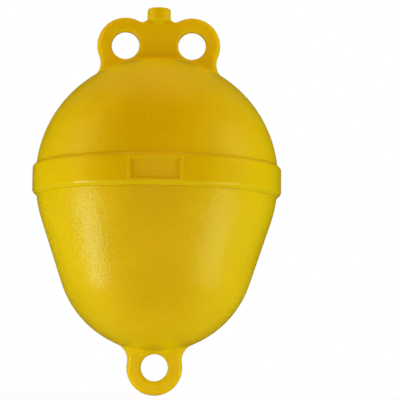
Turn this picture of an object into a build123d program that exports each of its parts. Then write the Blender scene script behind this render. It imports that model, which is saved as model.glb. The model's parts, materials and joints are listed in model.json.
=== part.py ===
"""Small pear-shaped mooring buoy in moulded yellow polyethylene.

A hollow hull of two turned halves meets at mid-belt: a spherical dome above, and a tapered cone with
a round bottom below.  A band covers the weld seam and carries a blank name plate at the front.  A
flat lug with two eyes stands on the dome, with a round plug between the eyes, and a lug with one eye
hangs under the bottom.

Frame: millimetres, +Z up, origin on the hull's axis at mid-belt.  The plate faces -Y, and both lugs
lie in the XZ plane, so their eyes run along Y.
"""
import os
from math import cos, radians, sin, sqrt

from build123d import *

# ---- fits ----
weld_gap = 0.15          # clearance between two curved faces that are welded together

# ---- hull ----
waist_r = 121.6          # outer radius at mid-belt, the hull's widest place
dome_swell = 0.2         # how much larger the dome's sphere is than that
dome_centre_z = 2.5
hull_depth = 171.4       # from mid-belt down to the round bottom
shoulder_r = 131.0       # arc that leads from mid-belt into the taper
taper_deg = 18.5         # half angle of the taper
wall = 3.0

# ---- belt, and the seam behind it ----
belt_proud = 3.4         # how far the band stands out of the hull
belt_half = 16.0         # half its height
belt_sink = 0.6          # how far under the hull's surface its bevels run
belt_edge_r = 4.0        # rounding between bevel and face
seat_depth = 2.1         # how far the band is let into the hull
lip_bevel = 0.8          # bevel on the hull's edge above and below the band
rim_wall = 3.5           # hull thickness behind the band
spigot_wall = 2.5
spigot_up = 10.0         # how far the lower half's spigot stands up inside the upper half
spigot_root = 6.0        # how far it runs down below the seam

# ---- name plate ----
plate_width = 51.4
plate_inset = 4.6        # from the band's top and bottom to the plate
plate_thick = 3.3
plate_proud = 0.7        # how far its frame stands out of the band
frame_width = 2.1
frame_depth = 1.5        # from the frame down to the blank field
frame_step = 0.1         # upright part of that depth, below the bevel

# ---- lifting lug ----
lug_thick = 13.0
eye_r = 28.6             # outside of each eye
eye_hole_r = 14.0
eye_x = 33.67            # half the distance between the eyes
eye_foot = 3.5           # least material between an eye's hole and the dome
side_blend_r = 18.5      # hollow curve from an eye down to the dome
valley_r = 5.3           # hollow curve from an eye to the plug
edge_land = 1.0          # flat left between the rounded edges of either lug
eye_land = 4.5           # straight part of each eye's hole, between its rounded mouths
foot_r = 3.0             # hollow bead along the foot of either lug

# ---- neck plug ----
plug_r = 11.8
plug_stand = 14.0        # how far it stands up from the valleys beside it
plug_sink = 1.9          # how far its end sits below them
plug_taper = 4.5         # height of the cone under its full radius
plug_edge_r = 3.0

# ---- mooring lug ----
ring_thick = 13.0
ring_r = 27.9            # outside of the eye
ring_hole_r = 13.5
ring_foot = 2.3          # least material between the eye's hole and the hull
ring_blend_r = 17.0      # hollow curve from the eye up to the hull


def at(x, z):
    """A point of the XZ plane."""
    return Vector(x, 0, z)


def turned(edges):
    """The solid that a closed outline in the XZ plane sweeps round the Z axis."""
    return revolve(make_face(edges), Axis.Z, 360)


def closed(points):
    """Straight edges through the points and back to the first."""
    return [Line(a, b) for a, b in zip(points, points[1:] + points[:1])]


def arc(centre, start, end):
    """The shorter arc about a centre between two points of the same circle."""
    radius = (start - centre).length
    middle = (start + end) / 2 - centre
    return ThreePointArc(start, centre + middle.normalized() * radius, end)


def towards(start, end, distance):
    """The point at a distance from one point towards another."""
    return start + (end - start).normalized() * distance


def mirrored(edges):
    """The same edges on the other side of the YZ plane."""
    return [edge.mirror(Plane.YZ) for edge in edges]


# ---- hull: a sphere above, and below it an arc, a taper and a round bottom, each tangent to the next
taper = radians(taper_deg)
dome_r = waist_r + dome_swell
dome_centre = at(0, dome_centre_z)
shoulder_centre = at(waist_r - shoulder_r, 0)
shoulder_end = shoulder_centre + at(cos(taper), -sin(taper)) * shoulder_r
cap_r = shoulder_end.X * cos(taper) - (shoulder_end.Z + hull_depth) * sin(taper)
cap_r = cap_r / (1 - sin(taper))
cap_centre = at(0, cap_r - hull_depth)
seat_r = waist_r - seat_depth
rim_r = seat_r - rim_wall
lip_z = belt_half + lip_bevel


def lower_outline(start, inset):
    """Edges of the lower half from a point on its shoulder arc down to the axis, inset by a wall."""
    slope = at(cos(taper), -sin(taper))
    shoulder_foot = shoulder_centre + slope * (shoulder_r - inset)
    cap_start = cap_centre + slope * (cap_r - inset)
    return [
        arc(shoulder_centre, start, shoulder_foot),
        Line(shoulder_foot, cap_start),
        arc(cap_centre, cap_start, at(0, inset - hull_depth)),
    ]


def make_upper_shell():
    """Dome with a thicker rim: the band's seat outside, the spigot's socket inside."""
    lip = at(sqrt(dome_r**2 - (lip_z - dome_centre_z)**2), lip_z)
    lip_inner = at(lip.X - lip_bevel, belt_half)
    pole = at(0, dome_centre_z + dome_r)
    inner_pole = at(0, dome_centre_z + dome_r - wall)
    inner_foot = at(rim_r, dome_centre_z + sqrt((dome_r - wall)**2 - rim_r**2))
    return turned([
        Line(at(rim_r, 0), at(seat_r, 0)),
        Line(at(seat_r, 0), at(seat_r, belt_half)),
        Line(at(seat_r, belt_half), lip_inner),
        Line(lip_inner, lip),
        arc(dome_centre, lip, pole),
        Line(pole, inner_pole),
        arc(dome_centre, inner_pole, inner_foot),
        Line(inner_foot, at(rim_r, 0)),
    ])


def make_lower_shell():
    """Taper and round bottom, with the band's seat and a spigot that centres the upper half."""
    lip = at(shoulder_centre.X + sqrt(shoulder_r**2 - lip_z**2), -lip_z)
    lip_inner = at(lip.X - lip_bevel, -belt_half)
    inner_drop = sqrt((shoulder_r - wall)**2 - (rim_r - shoulder_centre.X)**2)
    inner_foot = at(rim_r, -inner_drop)
    spigot_out = rim_r - weld_gap
    spigot_in = spigot_out - spigot_wall
    root = at(rim_r, -spigot_root - spigot_wall)
    return turned([
        Line(at(seat_r, 0), at(seat_r, -belt_half)),
        Line(at(seat_r, -belt_half), lip_inner),
        Line(lip_inner, lip),
        *lower_outline(lip, 0),
        Line(at(0, -hull_depth), at(0, wall - hull_depth)),
        *lower_outline(inner_foot, wall),
        Line(inner_foot, root),
        Line(root, at(spigot_in, -spigot_root)),
        Line(at(spigot_in, -spigot_root), at(spigot_in, spigot_up)),
        Line(at(spigot_in, spigot_up), at(spigot_out, spigot_up)),
        Line(at(spigot_out, spigot_up), at(spigot_out, 0)),
        Line(at(spigot_out, 0), at(seat_r, 0)),
    ])


# ---- belt and plate: the plate lies in a pocket of the band, and both follow the band's curve
belt_r = waist_r + belt_proud
plate_r = belt_r + plate_proud
plate_height = 2 * (belt_half - plate_inset)
pocket_r = plate_r - plate_thick


def front_slab(inner_r, outer_r, width, height):
    """A slab at the front, between two radii about the axis and two upright ends."""
    ring = Cylinder(outer_r, height) - Cylinder(inner_r, height)
    return ring & Pos(0, -outer_r, 0) * Box(width, outer_r, height)


def make_belt_band():
    """Ring with bevelled, rounded edges and a pocket for the plate."""
    bore_r = seat_r + weld_gap
    bevel = belt_proud + belt_sink
    profile = make_face(closed([
        at(bore_r, -belt_half),
        at(belt_r - bevel, -belt_half),
        at(belt_r, bevel - belt_half),
        at(belt_r, belt_half - bevel),
        at(belt_r - bevel, belt_half),
        at(bore_r, belt_half),
    ]))
    profile = fillet(profile.vertices().group_by(Axis.X)[-1], belt_edge_r)
    pocket = front_slab(pocket_r, plate_r + belt_proud, plate_width + 2 * weld_gap,
                        plate_height + 2 * weld_gap)
    return revolve(profile, Axis.Z, 360) - pocket


def make_name_plate():
    """Curved plate with a raised frame round a blank field."""
    half_x = plate_width / 2 - frame_width
    half_z = plate_height / 2 - frame_width
    plate = front_slab(pocket_r + weld_gap, plate_r, plate_width, plate_height)
    plate -= front_slab(plate_r - frame_depth, plate_r + frame_depth, 2 * half_x, 2 * half_z)

    def round_the_mouth(edge):
        middle = edge @ 0.5
        on_face = abs(middle.X**2 + middle.Y**2 - plate_r**2) < 0.01
        return on_face and abs(middle.X) < half_x + 0.01 and abs(middle.Z) < half_z + 0.01

    return chamfer(plate.edges().filter_by(round_the_mouth), frame_depth - frame_step)


# ---- lugs: a flat plate with rounded edges and eyes, cut to the hull, with a hollow bead at its foot
def bored_along_y(centre, radius, reach, spread=0.0):
    """A round bar along Y, which widens at 45 degrees past a distance from its middle."""
    bar = Pos(centre) * Rot(90, 0, 0) * Cylinder(radius, 2 * reach)
    if spread:
        cone = Cone(radius, radius + spread, spread, align=(Align.CENTER, Align.CENTER, Align.MIN))
        for turn in (90, -90):
            bar += Pos(centre) * Rot(turn, 0, 0) * Pos(0, 0, reach) * cone
    return bar


def foot_bead(outline, hull_centre, hull_r, half, clear):
    """Hollow bead between the lug's flat sides and the hull's sphere, short of rounded edges."""
    reach = sqrt((hull_r + foot_r)**2 - (half + foot_r)**2)
    bead_centre = Vector(0, half + foot_r, reach)
    on_side = Vector(0, half, reach)
    on_hull = bead_centre * (hull_r / (hull_r + foot_r))
    under = Vector(0, on_hull.Y, reach - 2 * foot_r)
    root = Vector(0, half - edge_land, reach)
    root_under = Vector(0, half - edge_land, reach - 2 * foot_r)
    section = make_face([
        Line(root, on_side),
        arc(bead_centre, on_side, on_hull),
        Line(on_hull, under),
        Line(under, root_under),
        Line(root_under, root),
    ])
    ring = Pos(hull_centre) * revolve(section, Axis.Y, 360)
    ring += ring.mirror(Plane.XZ)
    bead = ring & extrude(make_face(outline), half + 2 * foot_r, dir=(0, 1, 0), both=True)
    for centre, radius in clear:
        bead -= bored_along_y(centre, radius, half, 2 * foot_r)
    return bead


def make_lug(outline, thick, eyes, sides, side_r, hull_centre, hull_r):
    """A lug from its outline: edges and eyes rounded, foot cut to the hull and beaded."""
    half = thick / 2
    edge_round = half - edge_land / 2
    mouth_round = half - eye_land / 2
    lug = extrude(make_face(outline), half, dir=(0, 1, 0), both=True)

    def on_side(edge):
        return edge.geom_type == GeomType.CIRCLE and abs(abs(edge.center().Y) - half) < 0.001

    lug = fillet(lug.edges().filter_by(on_side), edge_round)
    for centre, radius in eyes:
        lug -= bored_along_y(centre, radius, thick)
        mouths = lug.edges().filter_by(
            lambda edge: on_side(edge) and abs(edge.radius - radius) < 0.001
            and abs(edge.arc_center.X - centre.X) < 0.001)
        lug = fillet(mouths, mouth_round)
    clear = [(centre, side_r + edge_round) for centre in sides]
    clear += [(centre, radius + mouth_round) for centre, radius in eyes]
    lug += foot_bead(outline, hull_centre, hull_r, half, clear)
    return lug - Pos(hull_centre) * Sphere(hull_r + weld_gap)


def blend_centre(centre_a, reach_a, centre_b, reach_b):
    """The point at two given distances from two centres, on their +X side."""
    across = centre_b - centre_a
    along = (across.length**2 + reach_a**2 - reach_b**2) / (2 * across.length)
    off = sqrt(reach_a**2 - along**2)
    unit = across.normalized()
    side = at(unit.Z, -unit.X)
    return centre_a + unit * along + side * (off if side.X > 0 else -off)


eye_reach = dome_r + eye_foot + eye_hole_r
eye = at(eye_x, dome_centre_z + sqrt(eye_reach**2 - eye_x**2))
valley_x = plug_r + valley_r
valley = at(valley_x, eye.Z + sqrt((eye_r + valley_r)**2 - (eye_x - valley_x)**2))
plug_seat_z = valley.Z - valley_r - plug_sink
plug_top_z = valley.Z - valley_r + plug_stand


def plug_body(gap):
    """The plug as turned, grown by a gap everywhere but at its seated end."""
    nose_r = lug_thick / 2 + gap
    return turned(closed([
        at(0, plug_seat_z),
        at(nose_r, plug_seat_z),
        at(plug_r + gap, plug_seat_z + plug_taper),
        at(plug_r + gap, plug_top_z),
        at(0, plug_top_z),
    ]))


def make_neck_plug():
    """Round plug with a rounded top edge and a tapered end."""
    plug = plug_body(0)
    return fillet(plug.edges().group_by(Axis.Z)[-1], plug_edge_r)


def make_lifting_lug():
    """Twin-eye lug, with hollow side curves down to the dome and valleys beside the plug."""
    side = blend_centre(dome_centre, dome_r + side_blend_r, eye, eye_r + side_blend_r)
    plug_side = at(plug_r, valley.Z)
    valley_end = towards(eye, valley, eye_r)
    side_start = towards(eye, side, eye_r)
    side_end = towards(dome_centre, side, dome_r)
    inside = towards(side_end, dome_centre, lug_thick)
    half = [
        arc(valley, plug_side, valley_end),
        arc(eye, valley_end, side_start),
        arc(side, side_start, side_end),
        Line(side_end, inside),
    ]
    across = [Line(p, at(-p.X, p.Z)) for p in (plug_side, inside)]
    eyes = [(eye, eye_hole_r), (at(-eye.X, eye.Z), eye_hole_r)]
    sides = [side, at(-side.X, side.Z)]
    lug = make_lug(half + mirrored(half) + across, lug_thick, eyes, sides, side_blend_r,
                   dome_centre, dome_r)
    return lug - plug_body(weld_gap)


def make_mooring_lug():
    """Single-eye lug, with hollow side curves up to the round bottom."""
    ring = at(0, -hull_depth - ring_foot - ring_hole_r)
    side = blend_centre(cap_centre, cap_r + ring_blend_r, ring, ring_r + ring_blend_r)
    side_start = towards(ring, side, ring_r)
    side_end = towards(cap_centre, side, cap_r)
    inside = towards(side_end, cap_centre, ring_thick)
    half = [
        arc(ring, ring - at(0, ring_r), side_start),
        arc(side, side_start, side_end),
        Line(side_end, inside),
    ]
    across = [Line(inside, at(-inside.X, inside.Z))]
    sides = [side, at(-side.X, side.Z)]
    return make_lug(half + mirrored(half) + across, ring_thick, [(ring, ring_hole_r)], sides,
                    ring_blend_r, cap_centre, cap_r)


pieces = {
    "upper_shell": make_upper_shell,
    "lower_shell": make_lower_shell,
    "belt_band": make_belt_band,
    "name_plate": make_name_plate,
    "lifting_lug": make_lifting_lug,
    "neck_plug": make_neck_plug,
    "mooring_lug": make_mooring_lug,
}

os.makedirs("parts", exist_ok=True)
for name, make in pieces.items():
    export_step(make(), f"parts/{name}.step")
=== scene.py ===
"""Looks of a small moulded mooring buoy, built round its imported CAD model.

One section for each piece, in the order in which the buoy is put together, then the studio.
"""
import json
from math import acos, asin, atan2, cos, pi, radians, sin, sqrt, tan

import bmesh
import bpy
import numpy as np
from mathutils import Matrix, Vector

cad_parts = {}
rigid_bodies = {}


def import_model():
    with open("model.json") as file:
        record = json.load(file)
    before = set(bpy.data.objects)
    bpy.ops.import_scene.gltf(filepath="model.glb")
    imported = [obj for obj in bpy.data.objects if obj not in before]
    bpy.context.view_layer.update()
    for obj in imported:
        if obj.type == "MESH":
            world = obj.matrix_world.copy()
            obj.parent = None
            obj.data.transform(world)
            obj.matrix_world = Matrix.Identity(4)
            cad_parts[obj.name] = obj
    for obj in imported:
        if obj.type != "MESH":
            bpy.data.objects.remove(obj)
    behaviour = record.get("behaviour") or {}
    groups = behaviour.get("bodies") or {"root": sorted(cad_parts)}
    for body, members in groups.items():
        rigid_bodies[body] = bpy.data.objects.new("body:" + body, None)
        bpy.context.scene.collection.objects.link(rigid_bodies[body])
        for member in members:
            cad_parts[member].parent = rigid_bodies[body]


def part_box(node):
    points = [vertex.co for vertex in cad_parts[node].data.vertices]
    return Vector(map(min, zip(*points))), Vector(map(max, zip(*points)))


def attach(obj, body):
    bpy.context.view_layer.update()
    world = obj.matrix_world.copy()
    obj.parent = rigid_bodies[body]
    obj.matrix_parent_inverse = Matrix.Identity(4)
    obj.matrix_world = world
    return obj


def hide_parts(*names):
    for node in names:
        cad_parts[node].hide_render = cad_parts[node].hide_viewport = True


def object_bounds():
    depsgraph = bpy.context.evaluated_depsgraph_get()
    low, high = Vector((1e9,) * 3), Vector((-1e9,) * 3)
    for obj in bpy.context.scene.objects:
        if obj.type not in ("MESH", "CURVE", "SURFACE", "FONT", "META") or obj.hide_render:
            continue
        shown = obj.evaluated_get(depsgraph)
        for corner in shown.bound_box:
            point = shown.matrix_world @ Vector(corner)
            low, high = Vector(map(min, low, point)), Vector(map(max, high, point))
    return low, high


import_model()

for spare in [spare for spare in bpy.data.objects if spare.name in ("Cube", "Light", "Camera")]:
    bpy.data.objects.remove(spare)
cad_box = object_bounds()
mm = 0.001


# ---- Upper shell ----
# The domed upper half of the hull: injection moulded in yellow polyethylene, 3 mm thick, with a pebble
# grain from the tool.  Its rim is thicker, and steps in to seat the belt.
dome_r = 121.8 * mm
wall = 3.0 * mm
seat_r = 119.5 * mm
rim_r = 116.0 * mm
lip_bevel = 0.2 * mm
inner_step = 6 * mm
belt_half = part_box("belt_band")[1].z
dome_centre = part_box("upper_shell")[1].z - dome_r


def arc(centre, radius, start, end, step=2.0 * mm):
    """Points of a circle arc in the (radius, height) plane, about a step apart: the angle runs evenly
    from start to end, in radians from the direction away from the axis."""
    count = max(2, round(abs(end - start) * radius / step) + 1)
    angle = np.linspace(start, end, count)
    return np.stack([centre[0] + radius * np.cos(angle), centre[1] + radius * np.sin(angle)], 1)


def run(start, end, step=2.0 * mm):
    """Points of a straight line, about a step apart."""
    start, end = np.array(start), np.array(end)
    count = max(2, round(np.hypot(*(end - start)) / step) + 1)
    return start + (end - start) * np.linspace(0, 1, count)[:, None]


def grid(points, close_rows=False, close_columns=False):
    """Vertices and four-sided faces of a grid of points, with its last row or column joined to its
    first where asked."""
    rows, columns = points.shape[:2]
    index = np.arange(rows * columns).reshape(rows, columns)
    if close_rows:
        index = np.concatenate([index, index[:1]])
    if close_columns:
        index = np.concatenate([index, index[:, :1]], 1)
    corners = [index[:-1, :-1], index[:-1, 1:], index[1:, 1:], index[1:, :-1]]
    return points.reshape(-1, 3), np.stack(corners, -1).reshape(-1, 4)


def piece(name, grids, material, slot, *nodes):
    """Joins grids into one closed mesh, with poles and seams merged and faces turned outwards, and sets
    it in the frame in place of its CAD nodes."""
    points, faces, start = [], [], 0
    for vertices, quads in grids:
        points.append(vertices)
        faces.append(quads + start)
        start += len(vertices)
    mesh = bpy.data.meshes.new(name)
    mesh.from_pydata(np.concatenate(points).tolist(), [], np.concatenate(faces).tolist())
    work = bmesh.new()
    work.from_mesh(mesh)
    bmesh.ops.remove_doubles(work, verts=work.verts, dist=0.001 * mm)
    bmesh.ops.recalc_face_normals(work, faces=work.faces)
    work.to_mesh(mesh)
    work.free()
    mesh.polygons.foreach_set("use_smooth", np.ones(len(mesh.polygons), bool))
    mesh.set_sharp_from_angle(angle=radians(40))
    mesh.materials.append(material)
    made = bpy.data.objects.new(name, mesh)
    bpy.context.scene.collection.objects.link(made)
    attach(made, "root")
    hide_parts(*nodes)
    return made


def turned(profile, angle=np.linspace(0, 2 * pi, 384, endpoint=False), ring=False):
    """A (radius, height) profile swept round the Z axis: x = r sin a, y = -r cos a, z = h.  It ends on
    the axis, or is a ring's closed profile."""
    radius, height = profile[:, :1], profile[:, 1:]
    across = np.stack([radius * np.sin(angle), -radius * np.cos(angle), height + 0 * angle], -1)
    return grid(across, close_rows=ring, close_columns=True)


def node(tree, kind, inputs, output=0, **settings):
    """Adds a shader node and returns one of its outputs.  An input, by name or number, is given a
    constant or another node's output."""
    made = tree.nodes.new(kind)
    for name, value in settings.items():
        setattr(made, name, value)
    for name, value in inputs.items():
        if isinstance(value, bpy.types.NodeSocket):
            tree.links.new(value, made.inputs[name])
        else:
            made.inputs[name].default_value = value
    return made.outputs[output]


def polyethylene(name, grain, balls=(), painted_light_lift=1.0):
    """Satin yellow polyethylene.  Slow noise drifts through its colour, gloss and surface.  A pebble
    grain lies on it: rounded grains 2.5 mm across with warped borders, high in the middle and sunk
    between each other.  The colour is painted deeper where the grain is sunk and paler on its tops:
    painted shade.  The grain is as strong as grain says.  Where balls are given as (centre height,
    radius), it is full on them and fades to that strength over 4 mm away from them.  The last
    argument scales the colour; above 1 it paints the piece lighter, painted light for shade it lies in."""
    fade = 4 * mm
    material = bpy.data.materials.new(name)
    material.use_nodes = True
    tree = material.node_tree
    shader = tree.nodes["Principled BSDF"]
    place = tree.nodes.new("ShaderNodeTexCoord").outputs["Object"]
    drift = node(tree, "ShaderNodeTexNoise", {"Vector": place, "Scale": 16.0, "Detail": 3.0})
    speck = node(tree, "ShaderNodeTexNoise", {"Vector": place, "Scale": 1100.0, "Detail": 2.0})
    stir = node(tree, "ShaderNodeTexNoise", {"Vector": place, "Scale": 330.0, "Detail": 1.0})
    shift = node(tree, "ShaderNodeMath", {0: stir, 1: 0.0022}, operation="MULTIPLY")
    warped = node(tree, "ShaderNodeVectorMath", {0: place, 1: shift}, operation="ADD")
    cell = node(tree, "ShaderNodeTexVoronoi", {"Vector": warped, "Scale": 400.0})
    pebble = node(tree, "ShaderNodeMapRange", {
        "Value": cell, "From Min": 0.0, "From Max": 0.75, "To Min": 1.0, "To Max": 0.0},
        interpolation_type="SMOOTHSTEP")
    cover = None
    for ball_height, ball_r in balls:
        middle = node(tree, "ShaderNodeVectorMath", {0: place, 1: (0, 0, ball_height)}, "Value",
                      operation="DISTANCE")
        near = node(tree, "ShaderNodeMapRange", {
            "Value": middle, "From Min": ball_r, "From Max": ball_r + fade,
            "To Min": 1.0, "To Max": grain}, interpolation_type="SMOOTHSTEP")
        cover = near if cover is None else node(
            tree, "ShaderNodeMath", {0: cover, 1: near}, operation="MAXIMUM")
    raised = node(tree, "ShaderNodeMath", {0: pebble, 1: grain if cover is None else cover},
                  operation="MULTIPLY")
    height = node(tree, "ShaderNodeMath", {0: speck, 1: 0.07, 2: raised}, operation="MULTIPLY_ADD")
    slow = node(tree, "ShaderNodeBump", {"Height": drift, "Distance": 0.5 * mm, "Strength": 1.0})
    relief = node(tree, "ShaderNodeBump", {
        "Height": height, "Distance": 0.2 * mm, "Strength": 1.0, "Normal": slow})
    # Painted shade: the colour runs from deep in the grain's sunk borders to pale on its raised tops,
    # with the slow drift added.
    depth = node(tree, "ShaderNodeMath", {0: raised, 1: 0.22, 2: drift}, operation="MULTIPLY_ADD")
    shade = node(tree, "ShaderNodeValToRGB", {"Fac": depth})
    low, high = shade.node.color_ramp.elements
    # Both ramp colours are scaled by the last argument, which above 1 paints the piece lighter: painted
    # light.
    low.position, low.color = 0.25, (*(painted_light_lift * yellow_deep), 1)
    high.position, high.color = 0.85, (*(painted_light_lift * yellow_pale), 1)
    gloss = node(tree, "ShaderNodeMapRange", {
        "Value": drift, "To Min": 0.14 + 0.02 * grain, "To Max": 0.22 + 0.02 * grain})
    for socket, value in (("Base Color", shade), ("Roughness", gloss), ("Normal", relief)):
        tree.links.new(value, shader.inputs[socket])
    shader.inputs["Specular IOR Level"].default_value = 0.55
    shader.inputs["Specular Tint"].default_value = (0.8, 1.0, 0.55, 1)
    return material


yellow_deep = np.array([0.59, 0.505, 0.0005])
yellow_pale = np.array([0.69, 0.59, 0.001])
hull_skin = polyethylene("hull_polyethylene", 1.0)

lip_z = belt_half + lip_bevel
lip_angle = asin((lip_z - dome_centre) / dome_r)
lip_r = dome_r * cos(lip_angle)
inner_angle = acos(rim_r / (dome_r - wall))
upper_profile = np.concatenate([
    arc((0, dome_centre), dome_r - wall, pi / 2, inner_angle, inner_step),
    run((rim_r, 0), (seat_r, 0)),
    run((seat_r, 0), (seat_r, belt_half))[1:],
    [[lip_r - lip_bevel, belt_half]],
    arc((0, dome_centre), dome_r, lip_angle, pi / 2),
])
piece("upper_shell_skin", [turned(upper_profile)], hull_skin, "hull_grained", "upper_shell")


# ---- Lower shell ----
# The tapered lower half, moulded like the upper one.  A spigot inside its rim centres the upper half,
# and the two are welded together behind the belt.
taper = radians(18.5)
waist_r = 121.6 * mm
shoulder_r = 131.0 * mm
spigot_r = 115.85 * mm
spigot_wall = 2.5 * mm
spigot_up = 10.0 * mm
spigot_root = 6.0 * mm
hull_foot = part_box("lower_shell")[0].z
shoulder = np.array([waist_r - shoulder_r, 0])
slope = np.array([cos(taper), -sin(taper)])
shoulder_end = shoulder + slope * shoulder_r
cap_r = (shoulder_end[0] * cos(taper) - (shoulder_end[1] - hull_foot) * sin(taper)) / (1 - sin(taper))
cap_centre = hull_foot + cap_r
lip_drop = -asin(lip_z / shoulder_r)
lip_r = shoulder[0] + shoulder_r * cos(lip_drop)
inner_drop = -acos((rim_r - shoulder[0]) / (shoulder_r - wall))
spigot_in = spigot_r - spigot_wall
lower_profile = np.concatenate([
    arc((0, cap_centre), cap_r - wall, -pi / 2, -taper, inner_step),
    arc(shoulder, shoulder_r - wall, -taper, inner_drop, inner_step),
    [[rim_r, -spigot_root - spigot_wall], [spigot_in, -spigot_root], [spigot_in, spigot_up]],
    [[spigot_r, spigot_up], [spigot_r, 0]],
    run((seat_r, 0), (seat_r, -belt_half)),
    [[lip_r - lip_bevel, -belt_half]],
    arc(shoulder, shoulder_r, lip_drop, -taper),
    run(shoulder_end, [0, cap_centre] + slope * cap_r)[1:-1],
    arc((0, cap_centre), cap_r, -taper, -pi / 2),
])
piece("lower_shell_skin", [turned(lower_profile)], hull_skin, "hull_grained", "lower_shell")


# ---- Belt ----
# A separate smooth band that covers the weld.  It lies in the seat round both shells, its outer edges
# are bevelled and rounded, and a pocket at the front takes the name plate.
belt_r = 125.0 * mm
belt_bevel = 3.7 * mm
belt_edge_r = 4.0 * mm
bore_r = seat_r + 0.15 * mm
pocket_r = 122.4 * mm
pocket_across = 24.5 * mm
pocket_up = 10.2 * mm
pocket_slope = 0.1 * mm
pocket_side_turn = 0.001
edge_step = 0.4 * mm

edge_back = belt_edge_r * tan(radians(22.5))
face_half = belt_half - belt_bevel - edge_back
edge_turn = radians(45)
belt_profile = np.concatenate([
    [[bore_r, -belt_half]],
    [[belt_r - belt_bevel, -belt_half]],
    arc((belt_r - belt_edge_r, -face_half), belt_edge_r, -edge_turn, 0, edge_step),
    run((belt_r, -face_half), (belt_r, -pocket_up))[1:],
    run((belt_r, pocket_slope - pocket_up), (belt_r, pocket_up - pocket_slope)),
    run((belt_r, pocket_up), (belt_r, face_half)),
    arc((belt_r - belt_edge_r, face_half), belt_edge_r, 0, edge_turn, edge_step)[1:],
    [[belt_r - belt_bevel, belt_half]],
    [[bore_r, belt_half]],
])
pocket_angle = pocket_across / belt_r
belt_angle = np.concatenate([
    np.linspace(-pocket_angle + pocket_side_turn, pocket_angle - pocket_side_turn, 26),
    np.linspace(pocket_angle, 2 * pi - pocket_angle, 360),
])
belt_points, belt_faces = turned(belt_profile, belt_angle, ring=True)
angle = np.arctan2(belt_points[:, 0], -belt_points[:, 1])
outside = np.hypot(belt_points[:, 0], belt_points[:, 1])
pocket = (np.abs(angle) < pocket_angle) & (np.abs(belt_points[:, 2]) < pocket_up) & (outside > pocket_r)
belt_points[pocket, :2] *= (pocket_r / outside[pocket])[:, None]
belt_skin = polyethylene("belt_polyethylene", 0.1)
piece("belt_skin", [(belt_points, belt_faces)], belt_skin, "belt_smooth", "belt_band")


# ---- Name plate ----
# A curved plate let into the belt's pocket.  A rounded frame stands round its blank, sunken field and
# runs out into the belt's surface.
plate_across = 25.9 * mm
plate_up = 12.1 * mm
plate_r = 125.7 * mm
plate_back_r = 122.55 * mm
plate_corner = 1.2 * mm
frame_depth = 1.5 * mm
frame_rise = 0.6 * mm
frame_inner = 1.9 * mm
field_start = 3.5 * mm
plate_lift = 0.02 * mm


def ramp(value, low, high):
    """0 below low and 1 above high, with the smooth step 3 t^2 - 2 t^3 between them."""
    t = np.clip((value - low) / (high - low), 0, 1)
    return t * t * (3 - 2 * t)


def spread(half, close=0.2 * mm, wide=2.0 * mm, band=4.5 * mm):
    """Evenly mirrored stations from -half to half, close together within a band at each end."""
    edge = np.arange(half - band, half, close)
    middle = np.linspace(0, half - band, round((half - band) / wide) + 1)
    side = np.concatenate([middle[:-1], edge, [half, half]])
    return np.concatenate([-side[:0:-1], side])


flare = 0.7 * mm
along, up = np.meshgrid(spread(plate_across + flare), spread(plate_up + flare))
over = np.stack([np.abs(along) - plate_across + plate_corner, np.abs(up) - plate_up + plate_corner])
inside = plate_corner - np.hypot(*np.maximum(over, 0)) - np.minimum(np.maximum(*over), 0)
belt_fall = np.clip(np.abs(up) - face_half, 0, None)
belt_surface = belt_r - belt_edge_r + np.sqrt(belt_edge_r**2 - belt_fall**2)
rise = ramp(inside, -flare, frame_rise)
front = (belt_surface + plate_lift) * (1 - rise) + plate_r * rise
front -= frame_depth * ramp(inside, frame_inner, field_start)
front[[0, -1]] = plate_back_r
front[:, [0, -1]] = plate_back_r
plate_front = np.stack([front * np.sin(along / belt_r), -front * np.cos(along / belt_r), up], -1)
back = np.full_like(front, plate_back_r)
plate_back = np.stack([back * np.sin(along / belt_r), -back * np.cos(along / belt_r), up], -1)
piece("name_plate_skin", [grid(plate_front), grid(plate_back)], belt_skin, "belt_smooth", "name_plate")


# ---- Lifting lug ----
# A flat lug with two eyes, moulded in one with the dome.  Its edges and the eyes' mouths are rounded,
# and hollow curves run out into the dome at its sides and along its foot.
lug_half = 6.5 * mm
eye_r = 28.6 * mm
eye_hole_r = 14.0 * mm
eye = np.array([33.67, 137.67]) * mm
side_blend_r = 18.5 * mm
valley_r = 5.3 * mm
valley = np.array([17.1, 167.244]) * mm
valley_stop = radians(25)
lug_top = valley[1] - valley_r * sin(valley_stop)
lug_edge_r = 6.0 * mm
lug_corner_r = 1.5 * mm
crease_r = 0.1 * mm
mouth_r = 4.25 * mm
foot_r = 3.5 * mm
bury = 0.03 * mm


def join(a, b, radius):
    """Distance to two bodies joined by a hollow curve: max(r, min(a, b)) less the length of
    (r - a, r - b), each counted where it is above 0."""
    hollow = np.hypot(np.maximum(radius - a, 0), np.maximum(radius - b, 0))
    return np.maximum(radius, np.minimum(a, b)) - hollow


def cut(a, b, radius):
    """Distance to what two bodies share, its edge rounded: min(-r, max(a, b)) plus the length of
    (r + a, r + b), each counted where it is above 0."""
    edge = np.hypot(np.maximum(radius + a, 0), np.maximum(radius + b, 0))
    return np.minimum(-radius, np.maximum(a, b)) + edge


def to_arcs(x, z, arcs):
    """Signed distance in the lug's plane to an outline of tangent arcs: in the fan of an arc it is the
    distance to the centre less the radius, with the sign turned for a hollow arc.  Away from all fans
    the point counts as deep inside."""
    best = np.full(x.shape, -40 * mm)
    for centre, radius, start, end in arcs:
        middle = (start + end) / 2
        dx, dz = x - centre[0], z - centre[1]
        reach = np.hypot(dx, dz)
        in_fan = dx * cos(middle) + dz * sin(middle) >= reach * cos((end - start) / 2)
        distance = np.sign(radius) * (reach - abs(radius))
        best = np.where(in_fan & (np.abs(distance) < np.abs(best)), distance, best)
    return best


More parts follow.
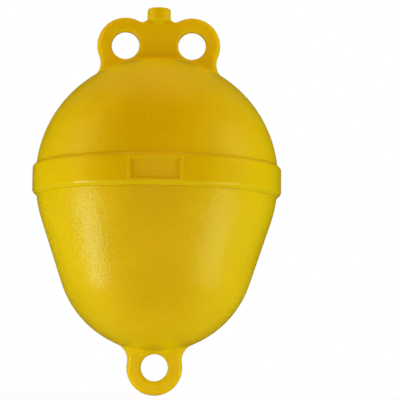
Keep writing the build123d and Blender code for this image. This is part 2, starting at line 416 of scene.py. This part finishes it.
def lug_field(arcs, ball_centre, ball_r, side, eye, hole_r, foot, top):
    """Distance to a lug on a ball: its outline and its two flat sides cut each other with rounded
    edges, the sides spread in a hollow quarter circle towards the ball and the edges' rounding grows
    with them, the ball is joined on, and the eye is cut through.  Top is (reach, height): as far out as
    reach the outline is cut off flat at height, with a rounded corner."""
    tip = atan2(side[0], side[1] - ball_centre)

    def field(x, y, z):
        x = np.abs(x)
        past_tip = x * cos(tip) - (z - ball_centre) * sin(tip)
        ball = np.sqrt(x**2 + y**2 + (z - ball_centre)**2) - ball_r - bury
        spread = foot - np.sqrt(foot**2 - np.clip(foot - ball, 0, foot)**2)
        above = np.where(x < top[0], z - top[1], -hole_r)
        flat = np.maximum(cut(to_arcs(x, z, arcs), above, lug_corner_r), past_tip)
        plate = cut(flat, np.abs(y) - lug_half - spread, lug_edge_r + spread)
        body = join(plate, ball, crease_r)
        return cut(body, hole_r - np.hypot(x - eye[0], z - eye[1]), mouth_r)

    return field


def bearing(start, end):
    """Angle of the line from one point of the lug's plane to another."""
    return atan2(end[1] - start[1], end[0] - start[0])


def blend_centre(centre_a, reach_a, centre_b, reach_b):
    """The point at two given distances from two centres, on their +X side."""
    across = np.array(centre_b) - centre_a
    length = np.hypot(*across)
    along = (length**2 + reach_a**2 - reach_b**2) / (2 * length)
    off = sqrt(reach_a**2 - along**2)
    forward = across / length
    sideways = np.array([forward[1], -forward[0]])
    return centre_a + forward * along + sideways * off * np.sign(sideways[0])


def unit(vectors):
    """Vectors scaled to length 1."""
    return vectors / np.linalg.norm(vectors, axis=-1, keepdims=True)


def swing(a, b, share):
    """Directions turned evenly from a to b."""
    turn = np.arccos(np.clip((a * b).sum(-1, keepdims=True), -1, 1)) + 1e-9
    return (a * np.sin((1 - share) * turn) + b * np.sin(share * turn)) / np.sin(turn)


def meet(field, start, ray, reach=60 * mm, marks=240, halvings=24):
    """Where rays from inside a body first leave it: the first of evenly spaced marks at which the
    distance field is above 0, and then the crossing before it by halving."""
    steps = np.linspace(0, reach, marks + 1)
    out = field(*np.moveaxis(start + ray * steps.reshape(-1, *[1] * ray.ndim), -1, 0)) > 0
    if out[0].any() or not out.any(0).all():
        raise ValueError("a ray starts outside the body or never leaves it")
    first = np.argmax(out, 0)
    low, high = steps[first - 1], steps[first]
    for _ in range(halvings):
        middle = (low + high) / 2
        beyond = field(*np.moveaxis(start + ray * middle[..., None], -1, 0)) > 0
        low, high = np.where(beyond, low, middle), np.where(beyond, middle, high)
    return start + ray * low[..., None]


def cast(field, inside, outer, face, inner, held, rows=22):
    """Skin of a body as a grid: rays from a point inside each section turn from the section's outer
    point over its face to its inner point, and each ends where the distance field is zero.  The inner
    points are kept as they are, and so are the outer ones that are held."""
    share = np.linspace(0, 1, rows + 1)[:, None, None]
    to_outer, to_face, to_inner = unit(outer - inside), unit(face - inside), unit(inner - inside)
    ray = np.concatenate([swing(to_outer, to_face, share), swing(to_face, to_inner, share)[1:]])
    points = meet(field, inside, ray)
    points[0, held], points[-1] = outer[held], inner
    return points


def in_plane(points, y=0.0):
    """Points of the lug's plane, or beside it, as points of space."""
    points = np.array(points)
    return np.stack([points[:, 0], np.full(len(points), 0.0) + y, points[:, 1]], -1)


def on_ball(angle, y, centre, radius):
    """Points of a ball's surface at an angle from straight up in the lug's plane, a distance y off
    the plane."""
    out = np.sqrt(radius**2 - y**2)
    return np.stack([out * np.sin(angle), y + 0 * angle, centre + out * np.cos(angle)], -1)


def foot_line(tip, centre, radius, side_radius, foot, margin=1.0 * mm):
    """Where the lug's foot has run out into the ball: level with the lug's side, and from there to the
    tip at the arc length s with s^2 (1/side radius + 1/ball radius) / 2 = e (1 - sin t), where t is the
    turn of the rounded edge and e its radius."""
    edge = lug_edge_r + foot
    turn = np.linspace(0, pi / 2, 25)
    back = np.sqrt(2 * edge * (1 - np.sin(turn)) / (1 / side_radius + 1 / radius))
    beside = (lug_half - lug_edge_r) * (turn < pi / 2) + (edge + margin) * np.cos(turn)
    bow = on_ball(tip - (back - margin * np.sin(turn)) / radius, beside, centre, radius)
    straight = on_ball(np.linspace(0, tip - back[0] / radius, 36)[:-1], beside[0], centre, radius)
    return np.concatenate([straight, bow])


def lug_grids(field, stretches, centre, radius, eye, hole_r, deep=6 * mm, foot_deep=1 * mm):
    """A quarter of a lug's skin round one eye, and its buried foot.  A stretch is (outer points, first
    and last angle round the eye, first and last share of depth)."""
    outer, angle, depth, foot_count = [], [], [], len(stretches[0][0])
    for points, angles, depths in stretches:
        outer.append(points)
        angle.append(np.linspace(*angles, len(points)))
        depth.append(ramp(np.linspace(*depths, len(points)), 0, 1))
    outer, angle, depth = (np.concatenate(values) for values in (outer, angle, depth))
    inner = in_plane(np.stack([eye[0] + hole_r * np.cos(angle), eye[1] + hole_r * np.sin(angle)], -1))
    flat = outer * [1, 0, 1]
    middle = (flat + inner) / 2
    below = np.array([0, 0, centre]) + unit(flat - [0, 0, centre]) * (radius - deep)
    inside = middle * (1 - depth[:, None]) + below * depth[:, None]
    held = (np.arange(len(outer)) < foot_count) | (outer[:, 1] != 0) | (outer[:, 0] == 0)
    skin = cast(field, inside, outer, middle + [0, lug_half, 0], inner, held)
    foot = outer[:foot_count]
    under = np.array([0, 0, centre]) + unit(foot * [1, 0, 1] - [0, 0, centre]) * (radius - foot_deep)
    buried = np.stack([foot, foot * [1, 0.6, 1] * 0.4 + under * 0.6, under])
    return skin, buried


def four_ways(points, close_columns=False):
    """Grids of a quarter of a lug and its mirror images in the YZ and XZ planes."""
    turns = [(sx, sy) for sx in (1, -1) for sy in (1, -1)]
    return [grid(points * [sx, sy, 1], close_columns=close_columns) for sx, sy in turns]


dome_xz = np.array([0, dome_centre])
side = blend_centre(dome_xz, dome_r + side_blend_r, eye, eye_r + side_blend_r)
tip = atan2(side[0], side[1] - dome_centre)
lug_arcs = [
    (eye, eye_r, bearing(eye, side), bearing(eye, valley)),
    (valley, -valley_r, -pi, bearing(valley, eye)),
    (side, -side_blend_r, bearing(side, eye), bearing(side, dome_xz) + 2 * pi),
]
lifting_field = lug_field(
    lug_arcs, dome_centre, dome_r, side, eye, eye_hole_r, foot_r, (valley[0], lug_top))
skin_r = dome_r + bury
foot = foot_line(tip, dome_centre, skin_r, side_blend_r, foot_r)
side_curve = in_plane(
    arc(side, side_blend_r, bearing(side, dome_xz), bearing(side, eye) - 2 * pi, 0.8 * mm))
eye_curve = in_plane(arc(eye, eye_r, bearing(eye, side), bearing(eye, valley), 1.2 * mm)[1:])
valley_curve = in_plane(arc(valley, valley_r, bearing(valley, eye), valley_stop - pi, 0.8 * mm)[1:])
top_line = in_plane(run(valley_curve[-1, ::2], (0, lug_top), 1.5 * mm)[1:])
top_end = np.array([[0, 1, 0]]) * np.linspace(0, lug_half, 6)[1:, None] + [0, 0, lug_top]
face_end = dome_centre + skin_r + foot_r + 1.5 * mm
face_line = in_plane(run((0, lug_top), (0, face_end), 1.5 * mm)[1:], lug_half)
low = np.array([0, 0, dome_centre + skin_r - 6 * mm])
fan = np.linspace(0, 1, 14)[1:-1, None]
foot_fan = meet(lifting_field, low, swing(unit(face_line[-1] - low), unit(foot[0] - low), fan))
turn = radians(360)
stretches = [
    (foot, (radians(225), radians(318)), (1, 1)),
    (side_curve, (radians(318.5), bearing(eye, side) + turn), (1, 0)),
    (eye_curve, (bearing(eye, side) + turn + 0.03, bearing(eye, valley) + turn), (0, 0)),
    (valley_curve, (bearing(eye, valley) + turn + 0.05, radians(495)), (0, 0)),
    (top_line, (radians(496), radians(508)), (0, 0)),
    (top_end, (radians(508.5), radians(512)), (0, 0)),
    (face_line, (radians(513), radians(572)), (0, 0.6)),
    (foot_fan, (radians(573), radians(584)), (0.62, 1)),
]
skin, buried = lug_grids(lifting_field, stretches, dome_centre, skin_r, eye, eye_hole_r)
# Painted light: the lugs and the plug wear the hull's polyethylene painted a tenth lighter, to make up
# for the shade they lie in.
lug_skin_painted_lighter = polyethylene("lug_polyethylene_painted_lighter", 0.1, [(dome_centre, dome_r), (cap_centre, cap_r)], 1.1)
piece("lifting_lug_skin", four_ways(skin, True) + four_ways(buried), lug_skin_painted_lighter, "lug_smooth",
      "lifting_lug")


# ---- Neck plug ----
# The round stub that closes the neck between the eyes.  It is turned: a full radius with a rounded top
# edge, and under it a flared foot that runs out into the lug's flat sides.
plug_r = 11.8 * mm
plug_edge_r = 3.0 * mm
plug_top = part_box("neck_plug")[1].z
plug_flare = 8.5 * mm
plug_root = 157 * mm
plug_root_r = lug_half - 0.5 * mm
flare = np.linspace(0, 1, 20)[:, None]
plug_profile = np.concatenate([
    [[0, plug_root]],
    np.hstack([plug_root_r + (plug_r - plug_root_r) * ramp(flare, 0, 1),
               plug_root + plug_flare * flare]),
    run((plug_r, plug_root + plug_flare), (plug_r, plug_top - plug_edge_r))[1:],
    arc((plug_r - plug_edge_r, plug_top - plug_edge_r), plug_edge_r, 0, pi / 2, 0.5 * mm)[1:],
    run((plug_r - plug_edge_r, plug_top), (0, plug_top))[1:],
])
plug_angle = np.linspace(0, 2 * pi, 96, endpoint=False)
piece("neck_plug_skin", [turned(plug_profile, plug_angle)], lug_skin_painted_lighter, "lug_smooth", "neck_plug")


# ---- Mooring lug ----
# The lug under the hull, with one eye for the mooring's shackle.  It is made like the lifting lug, and
# its foot swells more softly into the round bottom.
ring_r = 27.9 * mm
ring_hole_r = 13.5 * mm
ring = np.array([0, 187.2]) * mm
ring_blend_r = 17.0 * mm
ring_foot_r = 9.0 * mm

base_xz = np.array([0, -cap_centre])
base_r = cap_r
side = blend_centre(base_xz, base_r + ring_blend_r, ring, ring_r + ring_blend_r)
tip = atan2(side[0], side[1] + cap_centre)
ring_arcs = [
    (ring, ring_r, bearing(ring, side), pi / 2 + 0.01),
    (side, -ring_blend_r, bearing(side, ring), bearing(side, base_xz) + 2 * pi),
]
mooring_field = lug_field(
    ring_arcs, -cap_centre, base_r, side, ring, ring_hole_r, ring_foot_r, (0, 0))
skin_r = base_r + bury
foot = foot_line(tip, -cap_centre, skin_r, ring_blend_r, ring_foot_r)
stretches = [
    (foot, (radians(270), radians(315)), (1, 1)),
    (in_plane(arc(side, ring_blend_r, bearing(side, base_xz), bearing(side, ring) - 2 * pi, 0.8 * mm)),
     (radians(316), bearing(ring, side) + turn), (1, 0)),
    (in_plane(arc(ring, ring_r, bearing(ring, side), pi / 2, 1.2 * mm)[1:]),
     (bearing(ring, side) + turn + 0.03, radians(450)), (0, 0)),
]
skin, buried = lug_grids(mooring_field, stretches, -cap_centre, skin_r, ring, ring_hole_r)
down = [1, 1, -1]
piece("mooring_lug_skin", four_ways(skin * down) + four_ways(buried * down), lug_skin_painted_lighter, "lug_smooth",
      "mooring_lug")


# ---- Studio ----
# A pale floor that the buoy stands on, in a white surround, and soft panels at both sides, above,
# behind, below and in front.  Two slanted strips near the floor are the only lamps seen in the gloss,
# and a black hood and mat hide the white surround from it.
scene = bpy.context.scene
floor_z = cad_box[0].z
floor_span = 12.0
floor_white = 0.95

floor_skin = bpy.data.materials.new("pale_floor")
floor_skin.use_nodes = True
tree = floor_skin.node_tree
paper = tree.nodes["Principled BSDF"]
paper.inputs["Base Color"].default_value = (0.8, 0.8, 0.8, 1)
paper.inputs["Roughness"].default_value = 0.9
paper.inputs["Specular IOR Level"].default_value = 0.0
rays = tree.nodes.new("ShaderNodeLightPath").outputs
seen = node(tree, "ShaderNodeMath", {0: rays["Is Camera Ray"], 1: rays["Is Glossy Ray"]},
            operation="MAXIMUM")
seen = node(tree, "ShaderNodeMath", {0: seen, 1: rays["Is Transmission Ray"]}, operation="MAXIMUM")
share = node(tree, "ShaderNodeMath", {0: seen, 1: floor_white}, operation="MULTIPLY")
white = node(tree, "ShaderNodeEmission", {"Color": (1, 1, 1, 1), "Strength": 1.0})
lit = node(tree, "ShaderNodeMixShader", {0: share, 1: paper.outputs[0], 2: white})
below = tree.nodes.new("ShaderNodeNewGeometry").outputs["Backfacing"]
clear = node(tree, "ShaderNodeBsdfTransparent", {})
top = node(tree, "ShaderNodeMixShader", {0: below, 1: lit, 2: clear})
tree.links.new(top, tree.nodes["Material Output"].inputs["Surface"])
floor_mesh = bpy.data.meshes.new("floor")
corner = np.array([[-1, -1], [1, -1], [1, 1], [-1, 1]]) * floor_span
floor_mesh.from_pydata(np.hstack([corner, np.full((4, 1), floor_z)]).tolist(), [], [(0, 1, 2, 3)])
floor_mesh.materials.append(floor_skin)
floor = bpy.data.objects.new("floor", floor_mesh)
scene.collection.objects.link(floor)

front_light = (0.45, 0.02, 0.0)
back_light = (0.15, 0.15, 0.15)
world = bpy.data.worlds.new("studio")
world.use_nodes = True
scene.world = world
tree = world.node_tree
rays = tree.nodes.new("ShaderNodeLightPath").outputs
seen = node(tree, "ShaderNodeMath", {0: rays["Is Camera Ray"], 1: rays["Is Glossy Ray"]},
            operation="MAXIMUM")
seen = node(tree, "ShaderNodeMath", {0: seen, 1: rays["Is Transmission Ray"]}, operation="MAXIMUM")
toward = node(tree, "ShaderNodeSeparateXYZ", {
    "Vector": tree.nodes.new("ShaderNodeTexCoord").outputs["Generated"]}, "Y")
behind = node(tree, "ShaderNodeMapRange", {"Value": toward, "From Min": -0.2, "From Max": 0.6},
              interpolation_type="SMOOTHSTEP")
room = node(tree, "ShaderNodeMix", {"Factor": behind, "A": (*front_light, 1), "B": (*back_light, 1)},
            "Result", data_type="RGBA")
surround = node(tree, "ShaderNodeMix", {"Factor": seen, "A": room, "B": (1, 1, 1, 1)}, "Result",
                data_type="RGBA")
tree.links.new(surround, tree.nodes["Background"].inputs["Color"])


def panel(name, place, aim, width, height, light, shines=False):
    """A soft rectangular lamp at place that faces aim.  Its face has the given red, green and blue
    radiance: power = pi * area * radiance.  Only a lamp that shines is seen in the gloss."""
    lamp = bpy.data.lights.new(name, "AREA")
    lamp.shape, lamp.size, lamp.size_y = "RECTANGLE", width, height
    lamp.energy = pi * width * height
    lamp.color = light
    made = bpy.data.objects.new(name, lamp)
    facing = (Vector(aim) - Vector(place)).to_track_quat("-Z", "Y").to_matrix().to_4x4()
    made.matrix_world = Matrix.Translation(place) @ facing
    made.visible_camera = False
    made.visible_glossy = shines
    scene.collection.objects.link(made)


panel("left_panel", (-1.2, -0.25, 0.55), (0, 0, 0.05), 0.9, 0.8, (2.75, 3.0, 2.8))
panel("right_panel", (1.2, -0.25, 0.55), (0, 0, 0.05), 0.9, 0.8, (2.95, 3.35, 3.0))
panel("left_strip", (-0.37, -0.18, -0.12), (-0.22, -0.105, 0.14), 0.11, 0.38, (3.0, 3.25, 3.2), True)
panel("right_strip", (0.37, -0.20, -0.12), (0.22, -0.15, 0.16), 0.16, 0.38, (1.2, 1.5, 1.1), True)
panel("under_panel", (0, 0, floor_z + mm), (0, 0, 1), 0.26, 0.26, (0.38, 0.31, 0.25))
panel("front_low_panel", (0, -0.85, floor_z + mm), (0, -0.6, 1), 1.2, 0.7, (0.5, 0.75, 0.4))
panel("front_panel", (0.0, -2.4, 0.0), (0, 0, 0), 1.6, 0.4, (4.45, 3.25, 2.6))
panel("top_panel", (0, 0.1, 1.5), (0, 0, 0), 1.4, 0.8, (2.2, 2.1, 2.1))
panel("back_panel", (0, 1.3, 1.2), (0, 0, 0), 2.6, 1.6, (2.5, 2.45, 2.4))

flag_skin = bpy.data.materials.new("black_card")
flag_skin.use_nodes = True
card = flag_skin.node_tree.nodes["Principled BSDF"]
card.inputs["Base Color"].default_value = (0.01, 0.01, 0.01, 1)
card.inputs["Specular IOR Level"].default_value = 0.0
hood_r = 1.1
hood_low = radians(-11.2)
mat_r = 1.08
hood_angle = np.linspace(-pi, pi, 73)
rise = np.linspace(hood_low, pi / 2, 13)[:, None]
hood = hood_r * np.stack([np.cos(rise) * np.sin(hood_angle), -np.cos(rise) * np.cos(hood_angle),
                          np.sin(rise) + 0 * hood_angle], -1)
reach = np.array([[0.0], [mat_r]])
mat = np.stack([reach * np.sin(hood_angle), -reach * np.cos(hood_angle),
                floor_z + mm + 0 * reach * hood_angle], -1)
hood_points, hood_faces = grid(hood)
mat_points, mat_faces = grid(mat)
flag_points = np.concatenate([hood_points, mat_points])
flag_faces = np.concatenate([hood_faces, mat_faces + len(hood_points)])
flag_mesh = bpy.data.meshes.new("black_flag")
flag_mesh.from_pydata(flag_points.tolist(), [], flag_faces.tolist())
flag_mesh.materials.append(flag_skin)
flag = bpy.data.objects.new("black_flag", flag_mesh)
flag.visible_camera = flag.visible_diffuse = flag.visible_shadow = flag.visible_transmission = False
scene.collection.objects.link(flag)

camera_at = Vector((31.5, -2050.8, -211.96)) * mm
aim_at = Vector((43.65, 0, -18.43)) * mm
camera_tilt = radians(0.6885)
lens = bpy.data.cameras.new("camera")
lens.sensor_width = 36
lens.lens = 184.25
camera = bpy.data.objects.new("camera", lens)
turned_to = (aim_at - camera_at).to_track_quat("-Z", "Y").to_matrix().to_4x4()
camera.matrix_world = Matrix.Translation(camera_at) @ turned_to @ Matrix.Rotation(camera_tilt, 4, "Z")
scene.collection.objects.link(camera)
scene.camera = camera
scene.view_settings.view_transform = "Standard"
